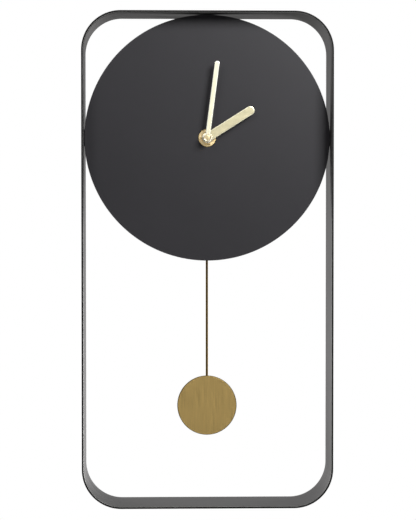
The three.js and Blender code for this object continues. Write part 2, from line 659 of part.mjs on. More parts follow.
/** The chip's blob of resin on the board. */
function blobGeometry() {
  const base = board.rear + 0.1;
  return turned([[0, base], [2.4, base], [1.5, base + 1], [0, base + 1.1]], 12);
}

/** A contact of spring sheet drawn as a run of [x, z] points, bent to one side of it. */
function contactGeometry(run, side) {
  const points = pointsOf(run);
  const offset = points.map((point, i) => {
    const ahead = points[Math.min(i + 1, points.length - 1)];
    const behind = points[Math.max(i - 1, 0)];
    const along = ahead.clone().sub(behind).normalize().multiplyScalar(side * contact.sheet);
    return new THREE.Vector2(point.x - along.y, point.y + along.x);
  });
  const shape = outline([...offset, ...points.reverse()].reverse());
  return plate(shape, cellY - contact.halfHeight, cellY + contact.halfHeight);
}

/** The dry cell, lying along x with its nub to the right. */
function cellGeometry() {
  const { radius, bodyLength, nubRadius, nubLength, edge } = cell;
  const end = (bodyLength + nubLength) / 2;
  const shoulder = bodyLength - end;
  const body = turned([
    [0, -end], [radius - edge, -end], [radius, -end + edge], [radius, shoulder - edge],
    [radius - edge, shoulder], [nubRadius, shoulder], [nubRadius, shoulder + nubLength],
    [0, shoulder + nubLength],
  ], 24);
  return body.rotateZ(-Math.PI / 2).translate(0, cellY, 0);
}

const negativeRun = [[-26.9, -6], [-26.9, -27], [-26.2, -27], [-25.7, -20.4], [-26.2, -15]];
const positiveRun = [[26.9, -6], [26.9, -17], [26.1, -20.4], [26.9, -24]];
const canGeometry = block(-12, -5.5, board.rear + 0.1, board.rear + 1.2, -7.5, -5.5);
add(core, 'stator', statorGeometry(), steel);
add(core, 'coil_core', coreGeometry(), steel);
add(core, 'coil_bobbin', bobbinGeometry(), whitePlastic);
add(core, 'coil_winding', windingGeometry(), copper);
add(core, 'circuit_board', boardGeometry(), boardGreen);
add(core, 'quartz_can', canGeometry, steel);
add(core, 'chip_blob', blobGeometry(), blackPlastic, { x: 3, z: -4.5 });
add(core, 'contact_negative', contactGeometry(negativeRun, 1), steel);
add(core, 'contact_positive', contactGeometry(positiveRun, -1), steel);
add(core, 'dry_cell', cellGeometry(), cellJacket, { z: cell.z });

// ---------------------------------------------------------------- pendulum and its drive

/** The arm that hangs on the pivot pin, with an eye for the drive magnet and one for the rod. */
function armGeometry() {
  const { front, rear, hubFront, hubRear, halfWidth, endRadius, eyeRadius, headRadius, headBore } = arm;
  const { pivotZ, headZ, hookZ } = pendulum;
  const pieces = [
    bar(endRadius, hubFront, hubRear, 0, pivotZ, 12),
    block(-halfWidth, halfWidth, front, rear, hookZ, pivotZ),
    bar(headRadius, front, rear, 0, headZ, 20),
    bar(endRadius, front, rear, 0, hookZ, 12),
  ];
  const tools = [
    bar(pin.bore, hubFront - CUT, hubRear + CUT, 0, pivotZ, 12),
    bar(headBore, front - CUT, rear + CUT, 0, headZ, 16),
    bar(eyeRadius, front - CUT, rear + CUT, 0, hookZ, 12),
  ];
  return build(pieces, tools);
}

/** The spool of the drive coil. */
function spoolGeometry() {
  const { bore, radius, sleeve, front, rear, flange } = spool;
  return turned([
    [bore, front], [radius, front], [radius, front + flange], [sleeve, front + flange],
    [sleeve, rear - flange], [radius, rear - flange], [radius, rear], [bore, rear], [bore, front],
  ], 16);
}

/** The rod: a straight wire whose top end is bent into a hook through the arm's eye. */
function rodGeometry() {
  const { hookZ, hookBend, rodY, rodRadius, bobZ } = pendulum;
  const lip = rodY - 3 * hookBend;
  const sides = 10;
  const at = ([y, z]) => new THREE.Vector3(0, y, z);
  const line = (from, to) => new THREE.LineCurve3(at(from), at(to));
  const quarter = (corner, from, to) => new THREE.QuadraticBezierCurve3(at(from), at(corner), at(to));
  const path = new THREE.CurvePath();
  path.add(line([lip, hookZ + hookBend + 1], [lip, hookZ + hookBend]));
  path.add(quarter([lip, hookZ], [lip, hookZ + hookBend], [lip + hookBend, hookZ]));
  path.add(line([lip + hookBend, hookZ], [rodY - hookBend, hookZ]));
  path.add(quarter([rodY, hookZ], [rodY - hookBend, hookZ], [rodY, hookZ - hookBend]));
  const section = new THREE.Shape(polygon(rodRadius, sides));
  const hook = new THREE.ExtrudeGeometry(section, { steps: 20, bevelEnabled: false, extrudePath: path });
  const bottom = bobZ - 15;
  const top = hookZ - hookBend + 0.2;
  const straight = new THREE.CylinderGeometry(rodRadius, rodRadius, top - bottom, sides);
  straight.rotateX(Math.PI / 2).translate(0, rodY, (top + bottom) / 2);
  return build([hook, straight]);
}

/** The bob: a thick disc with its edges broken. */
function bobGeometry() {
  const { bobRadius: radius, bobEdge: edge } = pendulum;
  const rear = pendulum.rodY - pendulum.rodRadius - 0.2;
  const front = rear - pendulum.bobSheet;
  return turned([
    [0, front], [radius - edge, front], [radius, front + edge],
    [radius, rear - edge], [radius - edge, rear], [0, rear],
  ], 64);
}

/** The clip that holds the rod on the back of the bob. */
function clipGeometry() {
  const { rodY, rodRadius } = pendulum;
  const { halfWidth, sheet, length, sideGap, rearGap, frontGap } = clip;
  const foot = rodY - rodRadius + frontGap;
  const inner = rodRadius + sideGap;
  const crown = rodY + rodRadius + rearGap;
  const outer = inner + sheet;
  const top = foot + sheet;
  const outside = [[halfWidth, foot], [halfWidth, top], [outer, top], [outer, crown + sheet]];
  const inside = [[inner, crown], [inner, foot]];
  const mirror = (points) => points.map(([x, y]) => [-x, y]).reverse();
  const shape = new THREE.Shape(pointsOf([...outside, ...mirror(outside), ...mirror(inside), ...inside]));
  const geometry = new THREE.ExtrudeGeometry(shape, { depth: length, bevelEnabled: false });
  return geometry.translate(0, 0, -length / 2);
}

const { pivotZ, headZ, bobZ } = pendulum;
const windingRing = ring(spool.sleeve + GAP, spool.radius - 0.5, spool.front + 0.8, spool.rear - 0.8, 16);
const magnetBar = bar(drive.magnetRadius, drive.magnetFront, drive.magnetRear, 0, 0, 16);
add(core, 'pivot_pin', bar(pin.radius, floor - 0.4, coverFront, 0, 0, 12), steel, { z: pivotZ });
add(core, 'drive_spool', spoolGeometry(), whitePlastic, { z: headZ });
add(core, 'drive_winding', windingRing, copper, { z: headZ });
add(core, 'pendulum_arm', armGeometry(), whitePlastic);
add(core, 'drive_magnet', magnetBar, magnetGrey, { z: headZ });
add(core, 'pendulum_rod', rodGeometry(), darkBrass);
add(core, 'bob_disc', bobGeometry(), brass, { z: bobZ });
add(core, 'rod_clip', clipGeometry(), brass, { z: bobZ + clip.aboveBobCentre });

export default clock;
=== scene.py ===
import json
import math

import bmesh
import bpy
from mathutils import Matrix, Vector


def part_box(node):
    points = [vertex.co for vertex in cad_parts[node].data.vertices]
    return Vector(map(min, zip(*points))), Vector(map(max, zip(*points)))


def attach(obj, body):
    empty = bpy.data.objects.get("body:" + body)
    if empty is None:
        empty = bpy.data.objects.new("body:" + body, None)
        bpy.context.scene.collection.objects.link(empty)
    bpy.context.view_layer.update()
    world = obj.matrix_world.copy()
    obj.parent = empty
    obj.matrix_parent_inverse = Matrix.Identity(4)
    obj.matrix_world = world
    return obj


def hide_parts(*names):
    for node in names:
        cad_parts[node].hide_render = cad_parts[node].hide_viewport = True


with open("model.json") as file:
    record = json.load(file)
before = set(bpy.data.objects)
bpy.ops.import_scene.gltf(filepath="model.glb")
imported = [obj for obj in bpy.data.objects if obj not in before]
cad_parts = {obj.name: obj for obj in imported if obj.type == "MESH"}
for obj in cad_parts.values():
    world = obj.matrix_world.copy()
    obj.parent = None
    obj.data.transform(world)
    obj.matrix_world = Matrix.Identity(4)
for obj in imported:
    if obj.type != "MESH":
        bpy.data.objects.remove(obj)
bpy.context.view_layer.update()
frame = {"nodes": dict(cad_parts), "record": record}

# A pendulum wall clock. Metres, +Z up, and -Y faces the room: the wall is the plane y = 0.

MM = 0.001
WHITE = (1.0, 1.0, 1.0)
FULL_TURN = 2 * math.pi

# ---------------------------------------------------------------- places read from the frame


def middle(node):
    """The middle of a CAD node's box."""
    low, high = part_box(node)
    return (low + high) / 2


BAND_LOW, BAND_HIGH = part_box("frame_band")
DIAL_LOW, DIAL_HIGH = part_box("dial_disc")
AXIS = middle("dial_disc")  # the hands turn on a line along y through this point
ON_AXIS = Vector((AXIS.x, 0, AXIS.z))  # where that line meets the wall
DIAL_FRONT, DIAL_REAR = DIAL_LOW.y, DIAL_HIGH.y
DIAL_RADIUS = (DIAL_HIGH.x - DIAL_LOW.x) / 2
BORE_RADIUS = 4.15 * MM  # the holes in the dial, the washer and the nut, round the bush

# ---------------------------------------------------------------- mesh helpers


def upright(a, b, depth):
    """For a plate that stands up: a to the right, b up, and depth towards the wall."""
    return Vector((a, depth, b))


def lying(a, b, depth):
    """For a strip that is bent in plan: a to the right, b towards the wall, and depth up."""
    return Vector((a, b, depth))


def arc(x, z, radius, start, end, steps):
    """Points on an arc, from one angle to another in degrees."""
    angles = [math.radians(start + (end - start) * i / steps) for i in range(steps + 1)]
    return [(x + radius * math.cos(t), z + radius * math.sin(t)) for t in angles]


def circle(x, z, radius, steps=48):
    """Points round a circle, counter-clockwise."""
    return arc(x, z, radius, 0, 360 - 360 / steps, steps - 1)


def rounded_rectangle(x0, x1, z0, z1, radius, steps=8):
    """Points round a rectangle with round corners, counter-clockwise from the lower right."""
    return [
        *arc(x1 - radius, z0 + radius, radius, -90, 0, steps),
        *arc(x1 - radius, z1 - radius, radius, 0, 90, steps),
        *arc(x0 + radius, z1 - radius, radius, 90, 180, steps),
        *arc(x0 + radius, z0 + radius, radius, 180, 270, steps),
    ]


def drawn_in(points, distance):
    """An outline drawn in by a distance, or pushed out by a negative one. It runs counter-clockwise."""
    count = len(points)
    result = []
    for i, (x, z) in enumerate(points):
        before, after = points[i - 1], points[(i + 1) % count]
        sides = []
        for (ax, az), (bx, bz) in ((before, (x, z)), ((x, z), after)):
            length = math.hypot(bx - ax, bz - az)
            sides.append(((az - bz) / length, (bx - ax) / length))
        (nx, nz), (mx, mz) = sides
        share = distance / (1 + nx * mx + nz * mz)
        result.append((x + (nx + mx) * share, z + (nz + mz) * share))
    return result


def finish_mesh(bm, name, sharp=14):
    """Makes an object of a bmesh: faces out, and creases sharp above an angle in degrees."""
    bmesh.ops.remove_doubles(bm, verts=bm.verts, dist=0.0001 * MM)
    bmesh.ops.recalc_face_normals(bm, faces=bm.faces)
    mesh = bpy.data.meshes.new(name)
    bm.to_mesh(mesh)
    bm.free()
    mesh.shade_smooth()
    mesh.set_sharp_from_angle(angle=math.radians(sharp))
    piece = bpy.data.objects.new(name, mesh)
    bpy.context.scene.collection.objects.link(piece)
    return piece


def distances(points, closed):
    """How far along a run of points each one is, and the whole length as well if it closes."""
    run = [0.0]
    for a, b in zip(points, points[1:] + (points[:1] if closed else [])):
        run.append(run[-1] + (b - a).length)
    return run


def add_grid(bm, rows, close_rows=False, close_columns=False, wear=None, cap=False):
    """Adds a surface through rows of points. u runs along a row and v from row to row, in metres.

    The wear numbers hold one for each row: 0 is a plain face, above 0 an edge tint that is real wear on some
    pieces and a painted highlight on others, and below 0 painted shade that darkens an edge. cap closes the
    first and the last row.
    """
    uv = bm.loops.layers.uv.verify()
    edge_wear_and_light = bm.verts.layers.float.get("wear") or bm.verts.layers.float.new("wear")
    height, width = len(rows), len(rows[0])
    verts = [[bm.verts.new(p) for p in row] for row in rows]
    for i, row in enumerate(verts):
        for vert in row:
            vert[edge_wear_and_light] = wear[i] if wear else 0.0
    along = distances(max(rows, key=lambda row: sum(distances(row, close_columns)[-1:])), close_columns)
    across = distances([row[0] for row in rows], close_rows)
    for i in range(height if close_rows else height - 1):
        for j in range(width if close_columns else width - 1):
            below, above = verts[i], verts[(i + 1) % height]
            k = (j + 1) % width
            corners = [
                (below[j], along[j], across[i]),
                (below[k], along[j + 1], across[i]),
                (above[k], along[j + 1], across[i + 1]),
                (above[j], along[j], across[i + 1]),
            ]
            face = bm.faces.new([c[0] for c in corners])
            for loop, (_, u, v) in zip(face.loops, corners):
                loop[uv].uv = (u, v)
    if cap:
        bm.faces.new(verts[0])
        bm.faces.new(verts[-1][::-1])
    return verts


def turned(name, profile, centre, segments=96, wear=None, axis="y", sharp=14):
    """A turned piece, from the radius and the place along its axis of each point, in mm from centre.

    The profile closes on itself or ends on the axis. A radius may be a function of the angle.
    """
    rows = []
    for radius, place in profile:
        row = []
        for i in range(segments):
            angle = FULL_TURN * i / segments
            reach = radius(angle) if callable(radius) else radius
            a, b = reach * math.cos(angle) * MM, reach * math.sin(angle) * MM
            offset = Vector((a, place * MM, b)) if axis == "y" else Vector((place * MM, a, b))
            row.append(centre + offset)
        rows.append(row)
    bm = bmesh.new()
    closed = profile[0][0] > 0 and profile[-1][0] > 0
    add_grid(bm, rows, close_rows=closed, close_columns=True, wear=wear)
    return finish_mesh(bm, name, sharp)


def plate(name, outline, low, high, edge, holes=(), place=upright, steps=3, edge_wear_and_light=1.0, bevel=(0.0, 0.0)):
    """A plate whose edges are rounded, filling low to high in depth. All outlines run counter-clockwise.

    The rounded edges' wear number: above 0 they take the material's edge tint, wear on paint and plastic and
    a painted highlight on most metals, and below 0 painted shade darkens them. bevel is the width and the
    fall of a polished bevel inside the outline's edge, on both faces; it takes the edge tint, partly polish
    and partly a painted highlight.
    """
    bm = bmesh.new()
    quarter = [math.radians(90 * i / steps) for i in range(steps + 1)]
    width, fall = bevel
    crease = 0.02 * MM
    rims = ([], [])
    for points, sign in [(outline, 1), *((hole, -1) for hole in holes)]:
        drop = fall if sign > 0 else 0.0
        front = [(edge * (1 - math.sin(t)), low + drop + edge * (1 - math.cos(t))) for t in quarter]
        wear = [0.0] + [edge_wear_and_light] * (steps - 1) + [min(0.0, edge_wear_and_light)]
        if drop:
            front = [(edge + width + crease, low), (edge + width, low), *front]
            wear = [0.0, edge_wear_and_light, edge_wear_and_light, *wear[1:]]
        rear = [(inset, high - (depth - low)) for inset, depth in reversed(front)]
        rows = []
        for inset, depth in front + rear:
            rows.append([place(a, b, depth) for a, b in drawn_in(points, sign * inset)])
        verts = add_grid(bm, rows, close_columns=True, wear=wear + wear[::-1])
        rims[0].append(verts[0])
        rims[1].append(verts[-1])
    for loops in rims:
        edges = []
        for loop in loops:
            edges += [bm.edges.get((a, b)) for a, b in zip(loop, loop[1:] + loop[:1])]
        if holes:
            bmesh.ops.triangle_fill(bm, edges=edges, use_beauty=True)
        else:
            bm.faces.new(loops[0])
    return finish_mesh(bm, name)


def grain_along(piece, along, across):
    """Lays a flat piece's grain along one direction: u along it and v across it, in metres."""
    mesh = piece.data
    uv = mesh.uv_layers[0].data
    for loop in mesh.loops:
        point = mesh.vertices[loop.vertex_index].co
        uv[loop.index].uv = (point.dot(along), point.dot(across))


def tube(name, path, radius, sides=20):
    """A round wire along a path in the y-z plane, with domed ends."""
    right = Vector((1, 0, 0))
    turns = [FULL_TURN * j / sides for j in range(sides)]
    spokes = []
    for i in range(len(path)):
        ahead = (path[min(i + 1, len(path) - 1)] - path[max(i - 1, 0)]).normalized()
        out = ahead.cross(right)
        spokes.append([right * math.cos(t) + out * math.sin(t) for t in turns])

    def dome(end, neighbour, directions):
        """Rings over one end of the wire, from its rim to near its tip."""
        beyond = (end - neighbour).normalized() * radius * 0.5
        rings = []
        for t in (math.radians(a) for a in (0, 30, 60, 80)):
            centre = end + beyond * math.sin(t)
            rings.append([centre + direction * radius * math.cos(t) for direction in directions])
        return rings

    first = dome(path[0], path[1], spokes[0])
    last = dome(path[-1], path[-2], spokes[-1])
    between = [[p + spoke * radius for spoke in row] for p, row in zip(path[1:-1], spokes[1:-1])]
    bm = bmesh.new()
    add_grid(bm, [*reversed(first), *between, *last], close_columns=True, cap=True)
    wire = finish_mesh(bm, name, sharp=60)
    for corner in wire.data.uv_layers[0].data:
        corner.uv = corner.uv.yx
    return wire


# ---------------------------------------------------------------- material helpers


class Graph:
    """The node tree of a new material, with short ways to add to it."""

    def __init__(self, name):
        self.material = bpy.data.materials.new(name)
        self.material.use_nodes = True
        self.tree = self.material.node_tree
        self.shader = self.tree.nodes["Principled BSDF"]

    def add(self, kind, inputs=None, **settings):
        """Adds a node, sets it up and fills its inputs with values or with other nodes' outputs."""
        node = self.tree.nodes.new(kind)
        for key, value in settings.items():
            setattr(node, key, value)
        for key, value in (inputs or {}).items():
            self.feed(node.inputs[key], value)
        return node

    def feed(self, socket, value):
        """Links an output to a socket, or gives the socket a value."""
        if isinstance(value, bpy.types.NodeSocket):
            self.tree.links.new(value, socket)
        elif hasattr(socket.default_value, "__len__") and len(socket.default_value) == 4 and len(value) == 3:
            socket.default_value = (*value, 1.0)
        else:
            socket.default_value = value

    def set(self, **values):
        """Sets the shader's own sockets."""
        for key, value in values.items():
            self.feed(self.shader.inputs[key.replace("_", " ")], value)

    def math(self, operation, a, b=0.0):
        """Works out one number from two."""
        return self.add("ShaderNodeMath", {0: a, 1: b}, operation=operation).outputs[0]

    def scaled(self, value, low, high, from_low=0.0, from_high=1.0):
        """Maps a number from one range to another, held inside it."""
        node = self.add("ShaderNodeMapRange", {0: value, 1: from_low, 2: from_high, 3: low, 4: high})
        return node.outputs[0]

    def varied(self, pattern, low, high):
        """Maps a noise to a range of numbers, across the middle of what it reaches."""
        return self.scaled(pattern, low, high, 0.3, 0.7)

    def mottled(self, pattern, colour, dark, light):
        """A colour that a noise varies between two tones of it."""
        return self.mix(self.varied(pattern, 0.0, 1.0), tone(colour, dark), tone(colour, light))

    def mix(self, factor, a, b, blend="MIX"):
        """Mixes two colours."""
        node = self.add("ShaderNodeMix", data_type="RGBA", blend_type=blend)
        self.feed(node.inputs[0], factor)
        self.feed(node.inputs[6], a)
        self.feed(node.inputs[7], b)
        return node.outputs[2]

    def place(self, source="Object"):
        """The point being shaded, in metres: Object for the clock's frame, or UV for a piece's own grain."""
        return self.add("ShaderNodeTexCoord").outputs[source]

    def noise(self, vector, scale, detail=2.0, roughness=0.5, stretch=None):
        """A noise from 0 to 1. stretch scales each axis first."""
        if stretch:
            vector = self.add("ShaderNodeMapping", {"Vector": vector, "Scale": stretch}).outputs[0]
        inputs = {"Vector": vector, "Scale": scale, "Detail": detail, "Roughness": roughness}
        return self.add("ShaderNodeTexNoise", inputs).outputs[0]

    def bump(self, height, distance, strength=1.0):
        """Bumps the surface by a height from 0 to 1 over a distance in metres."""
        inputs = {"Height": height, "Distance": distance, "Strength": strength}
        return self.add("ShaderNodeBump", inputs).outputs[0]

    def wear(self):
        """1 on a piece's tinted edges, wear on some pieces and a painted highlight on others, 0 on its faces,
        and below 0 where painted shade darkens it.
        """
        return self.add("ShaderNodeAttribute", attribute_name="wear").outputs["Fac"]


def tone(colour, factor):
    """A colour made lighter or darker."""
    return tuple(min(1.0, c * factor) for c in colour)


def brushed_metal(name, colour, roughness, metallic=1.0, contrast=0.2, streak=60 * MM, line=0.35 * MM,
                  edge=None, cloud=0.08, depth=0.02 * MM, broad_share=0.4, grazing=(1.0, 1.0, 1.0)):
    """Metal with fine straight scratches along u, uneven cloudy patches, and edges of another tone. The edge
    tint is partly wear and partly a painted highlight, a dark edge tint is painted shade, and edges numbered
    below 0 are darkened with painted shade.

    grazing is the tint of what it mirrors at its outline.
    """
    g = Graph(name)
    grain = g.place("UV")
    fine = g.noise(grain, 1.0, detail=3.0, roughness=0.6, stretch=(1 / streak, 1 / line, 1.0))
    broad = g.noise(grain, 1.0, detail=2.0, roughness=0.5, stretch=(0.4 / streak, 0.16 / line, 1.0))
    clouds = g.noise(g.place(), 22.0, detail=3.0, roughness=0.55)
    streaks = g.math("ADD", g.math("MULTIPLY", fine, 1 - broad_share), g.math("MULTIPLY", broad, broad_share))
    shade = g.scaled(streaks, 1 - contrast, 1 + contrast, 0.25, 0.75)
    shade = g.math("MULTIPLY", shade, g.varied(clouds, 1 - cloud, 1 + cloud))
    grey = g.add("ShaderNodeCombineColor", {0: shade, 1: shade, 2: shade}).outputs[0]
    base = g.mix(1.0, colour, grey, "MULTIPLY")
    # Painted shade: edges numbered below 0 darken towards a quarter of the colour.
    base = g.mix(g.scaled(g.wear(), 1.0, 0.0, -1.0, 0.0), base, tone(colour, 0.25))
    scuffs = g.noise(g.place(), 120.0, detail=2.0, roughness=0.6)
    # The edge tint, mixed in above 0, is partly wear and partly a painted highlight; where the tint is dark
    # it is painted shade.
    edge_tint = g.math("MULTIPLY", g.scaled(g.wear(), 0.0, 1.0), g.scaled(scuffs, 0.75, 1.0, 0.35, 0.6))
    rough = g.varied(streaks, roughness - 0.07, roughness + 0.09)
    on_face = g.scaled(g.math("ABSOLUTE", g.wear()), 0.6, 0.0)
    g.set(
        Base_Color=g.mix(edge_tint, base, edge or tone(colour, 1.2)),
        Metallic=metallic,
        Roughness=g.math("SUBTRACT", rough, g.math("MULTIPLY", edge_tint, 0.1)),
        Normal=g.bump(fine, depth, on_face),
        Specular_Tint=grazing,
    )
    return g.material


def powder_coat(name, colour, roughness, grain=0.35 * MM, depth=0.012 * MM):
    """Matte baked paint: a fine orange-peel grain, faint mottling, and specks of wear on the edges."""
    g = Graph(name)
    place = g.place()
    peel = g.noise(place, 1 / grain, detail=2.0, roughness=0.5)
    swell = g.noise(place, 0.12 / grain, detail=2.0, roughness=0.5)
    mottle = g.noise(place, 14.0, detail=4.0, roughness=0.6)
    specks = g.noise(place, 2600.0, detail=2.0, roughness=0.7)
    base = g.mottled(mottle, colour, 0.94, 1.06)
    base = g.mix(g.scaled(specks, 0.0, 0.35, 0.62, 0.8), base, tone(colour, 1.9))
    chipped = g.math("MULTIPLY", g.wear(), g.scaled(specks, 0.0, 0.5, 0.5, 0.7))
    height = g.math("ADD", g.math("MULTIPLY", peel, 0.6), g.math("MULTIPLY", swell, 0.4))
    g.set(
        Base_Color=g.mix(chipped, base, tone(colour, 1.6)),
        Roughness=g.varied(peel, roughness - 0.05, roughness + 0.06),
        Normal=g.bump(height, depth, 0.7),
    )
    return g.material


def moulded_plastic(name, colour, roughness, texture=0.25 * MM, depth=0.02 * MM):
    """Injection-moulded plastic: a spark-eroded texture, soft flow marks and slightly polished edges."""
    g = Graph(name)
    place = g.place()
    spark = g.noise(place, 1 / texture, detail=3.0, roughness=0.65)
    flow = g.noise(place, 40.0, detail=2.0, roughness=0.5, stretch=(1.0, 1.0, 0.35))
    base = g.mottled(flow, colour, 0.9, 1.1)
    edge_tint = g.math("MULTIPLY", g.wear(), 0.5)
    g.set(
        Base_Color=g.mix(edge_tint, base, tone(colour, 1.35)),
        Roughness=g.math("SUBTRACT", g.varied(spark, roughness - 0.06, roughness + 0.08),
                         g.math("MULTIPLY", edge_tint, 0.12)),
        Normal=g.bump(spark, depth, 0.6),
    )
    return g.material


def cast_or_sintered(name, colour, roughness, metallic):
    """A granular surface, for magnets and rubber."""
    g = Graph(name)
    grains = g.noise(g.place(), 3500.0, detail=3.0, roughness=0.7)
    base = g.mottled(grains, colour, 0.75, 1.3)
    g.set(
        Base_Color=base,
        Metallic=metallic,
        Roughness=g.varied(grains, roughness - 0.1, roughness + 0.1),
        Normal=g.bump(grains, 0.03 * MM, 0.6),
    )
    return g.material


def plain_steel(name, colour, roughness):
    """Plated steel for stampings and screws: cloudy, with faint rolling lines."""
    g = Graph(name)
    place = g.place()
    rolled = g.noise(place, 1.0, detail=3.0, roughness=0.6, stretch=(400.0, 400.0, 60.0))
    clouds = g.noise(place, 60.0, detail=4.0, roughness=0.6)
    base = g.mottled(clouds, colour, 0.85, 1.1)
    g.set(
        Base_Color=base,
        Metallic=1.0,
        Roughness=g.varied(rolled, roughness - 0.06, roughness + 0.1),
        Normal=g.bump(rolled, 0.01 * MM, 0.5),
    )
    return g.material


def wound_wire(name, colour, axis, wire=0.12 * MM):
    """Enamelled wire wound in layers: round turns side by side along an axis, each a little different."""
    g = Graph(name)
    split = g.add("ShaderNodeSeparateXYZ", {0: g.place()})
    turns = g.math("MULTIPLY", split.outputs[axis], 1 / wire)
    crown = g.math("PINGPONG", turns, 0.5)
    uneven = g.noise(g.place(), 1500.0, detail=2.0, roughness=0.6)
    # Painted shade: the colour darkens to about a third in the valleys between turns.
    base = g.mix(g.scaled(crown, 0.0, 1.0, 0.0, 0.5), tone(colour, 0.35), colour)
    base = g.mix(g.scaled(uneven, 0.0, 0.4, 0.4, 0.7), base, tone(colour, 1.5))
    g.set(
        Base_Color=base, Metallic=0.9, Roughness=g.varied(uneven, 0.25, 0.4),
        Normal=g.bump(crown, 0.04 * MM, 0.8),
    )
    return g.material


def circuit_resist(name, colour):
    """A circuit board: solder resist over tracks that show as a lighter raised pattern."""
    g = Graph(name)
    place = g.place()
    cells = g.add("ShaderNodeTexVoronoi", {"Vector": place, "Scale": 380.0}, distance="MANHATTAN")
    tracks = g.scaled(cells.outputs["Distance"], 1.0, 0.0, 0.28, 0.34)
    weave = g.noise(place, 2200.0, detail=2.0, roughness=0.6)
    base = g.mix(tracks, colour, tone(colour, 1.9))
    g.set(
        Base_Color=g.mix(g.scaled(weave, 0.0, 0.3, 0.4, 0.7), base, tone(colour, 0.6)),
        Roughness=g.varied(weave, 0.28, 0.42),
        Normal=g.bump(tracks, 0.03 * MM, 0.5),
    )
    return g.material


def cell_sleeve(name, low, high):
    """The dry cell's printed sleeve: a dark body, a lighter band by the nub, and bare steel ends."""
    g = Graph(name)
    place = g.place()
    x = g.add("ShaderNodeSeparateXYZ", {0: place}).outputs[0]
    share = g.scaled(x, 0.0, 1.0, low, high)
    band = g.math("GREATER_THAN", share, 0.8)
    bare = g.math("MAXIMUM", g.math("LESS_THAN", share, 0.012), g.math("GREATER_THAN", share, 0.972))
    scuffs = g.noise(place, 300.0, detail=4.0, roughness=0.65, stretch=(0.2, 1.0, 1.0))
    sleeve = g.mix(band, (0.045, 0.05, 0.06), (0.33, 0.35, 0.37))
    sleeve = g.mix(g.scaled(scuffs, 0.0, 0.35, 0.5, 0.75), sleeve, (0.3, 0.31, 0.33))
    g.set(
        Base_Color=g.mix(bare, sleeve, (0.6, 0.61, 0.62)),
        Metallic=g.scaled(bare, 0.25, 1.0),
        Roughness=g.varied(scuffs, 0.28, 0.45),
        Normal=g.bump(scuffs, 0.02 * MM, 0.4),
    )
    return g.material


# ---------------------------------------------------------------- the materials

BAND_COLOUR = (0.078, 0.0762, 0.0762)
DIAL_COLOUR = (0.0178, 0.0168, 0.0204)
# The hour hand's colour is the minute hand's gold darkened: painted shade.
HOUR_SHADED_COLOUR = (0.8, 0.735, 0.48)
MINUTE_COLOUR = (1.0, 0.965, 0.72)
HUB_COLOUR = (1.0, 0.74, 0.3)
CAP_COLOUR = (1.0, 0.83, 0.48)
BRASS_COLOUR = (0.63, 0.446, 0.166)
DARK_BRASS_COLOUR = (0.07, 0.048, 0.0007)
STEEL_COLOUR = (0.62, 0.63, 0.65)

MATERIALS = {
    # The band's light edge tint is a painted highlight on its inner front arris, partly wear; its front face
    # is darkened with painted shade.
    "band_steel": brushed_metal(
        "band_steel", BAND_COLOUR, roughness=0.6, contrast=0.3, streak=70 * MM, line=1.2 * MM,
        edge=(0.22, 0.22, 0.214), cloud=0.05, depth=0.008 * MM, broad_share=0.7),
    "dial_black": powder_coat("dial_black", DIAL_COLOUR, roughness=0.5),
    "hand_gold": brushed_metal(
        "hand_gold", MINUTE_COLOUR, roughness=0.42, metallic=0.35, contrast=0.05, streak=12 * MM,
        line=0.4 * MM, cloud=0.03),
    # A darker copy of the minute hand's gold for the hour hand: painted shade. Its lighter bevels take the
    # minute hand's colour.
    "hour_gold_painted_shade": brushed_metal(
        "hour_gold_painted_shade", HOUR_SHADED_COLOUR, roughness=0.42, metallic=0.55, contrast=0.12, streak=3 * MM,
        line=0.7 * MM, edge=MINUTE_COLOUR, cloud=0.03),
    # Near-white gold: a painted highlight for the white glints on the minute boss's rim.
    "hub_painted_glint": brushed_metal(
        "hub_painted_glint", (1.0, 0.97, 0.9), roughness=0.2, metallic=0.25, contrast=0.05, streak=8 * MM,
        line=0.12 * MM, cloud=0.02),
    # Its near-white edge tint is a painted highlight on the cap's rim.
    "cap_gold": brushed_metal(
        "cap_gold", CAP_COLOUR, roughness=0.3, metallic=0.5, contrast=0.1, streak=5 * MM,
        line=0.15 * MM, edge=(1.0, 0.95, 0.8), cloud=0.05),
    # Its near-white edge tint is a painted highlight on the washer's groove, the nut's recess rim and the
    # collet's front edges.
    "hub_gold": brushed_metal(
        "hub_gold", HUB_COLOUR, roughness=0.36, metallic=0.1, contrast=0.12, streak=8 * MM,
        line=0.12 * MM, edge=(1.0, 0.93, 0.76), cloud=0.05),
    # Its dark edge tint is painted shade on the clip's rounded edges; the bob's rim is darkened with painted
    # shade as well.
    "brass_brushed": brushed_metal(
        "brass_brushed", BRASS_COLOUR, roughness=0.48, metallic=0.85, contrast=0.14, streak=25 * MM,
        line=0.7 * MM, edge=tone(BRASS_COLOUR, 0.25), cloud=0.02, broad_share=0.15, grazing=(0.4, 0.27, 0.1)),
    "brass_dark": brushed_metal(
        "brass_dark", DARK_BRASS_COLOUR, roughness=0.55, contrast=0.1, streak=30 * MM, line=0.3 * MM,
        cloud=0.1, grazing=(0.38, 0.265, 0.01)),
    "steel": plain_steel("steel", STEEL_COLOUR, roughness=0.32),
    "plastic_black": moulded_plastic("plastic_black", (0.022, 0.022, 0.024), roughness=0.5),
    "plastic_white": moulded_plastic("plastic_white", (0.72, 0.71, 0.66), roughness=0.45),
    "rubber_black": cast_or_sintered("rubber_black", (0.02, 0.02, 0.02), roughness=0.8, metallic=0.0),
    "copper_wire": wound_wire("copper_wire", (0.6, 0.24, 0.09), axis=0),
    "magnet_grey": cast_or_sintered("magnet_grey", (0.09, 0.09, 0.1), roughness=0.45, metallic=0.8),
    "board_green": circuit_resist("board_green", (0.02, 0.13, 0.05)),
    "cell_jacket": cell_sleeve("cell_jacket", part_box("dry_cell")[0].x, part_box("dry_cell")[1].x),
}


